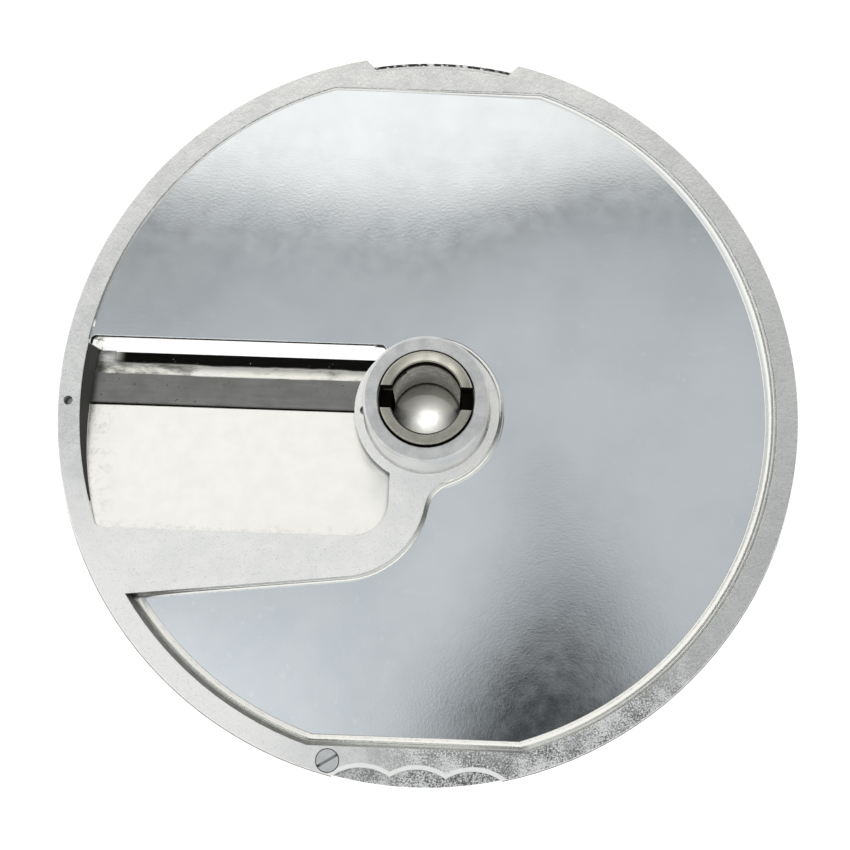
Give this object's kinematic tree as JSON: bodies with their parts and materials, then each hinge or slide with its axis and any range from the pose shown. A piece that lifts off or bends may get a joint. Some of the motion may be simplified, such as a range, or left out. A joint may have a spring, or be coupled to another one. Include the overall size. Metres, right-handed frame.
{
  "type": "slicing disc",
  "caption": "Cast aluminium slicing disc with a ramped plate, a straight blade beside a slot, an outlet pocket and a bushed drive boss.",
  "frame": {"origin": "on the axis of the drive bore, in the plane of the food side on which the disc lies", "axes": "+Z along the drive bore, from the food side to the drive side with the boss; +X along the slot, from the rim end of the blade to the hub"},
  "size_m": [0.205, 0.205, 0.0369],
  "materials": {
    "casting": "machined and blasted cast aluminium with light wear",
    "bush_steel": "turned stainless steel, slightly warm grey",
    "cap_steel": "polished stainless steel",
    "blade_steel": "ground stainless steel with small pits",
    "screw_steel": "plain stainless steel",
    "plug_metal": "machined flush with the rim"
  },
  "bodies": {
    "root": {"cast_disc": "casting", "drive_bush": "bush_steel", "end_cap": "cap_steel", "slicing_blade": "blade_steel", "blade_screws": "screw_steel", "rim_plug": "plug_metal"}
  },
  "joints": []
}
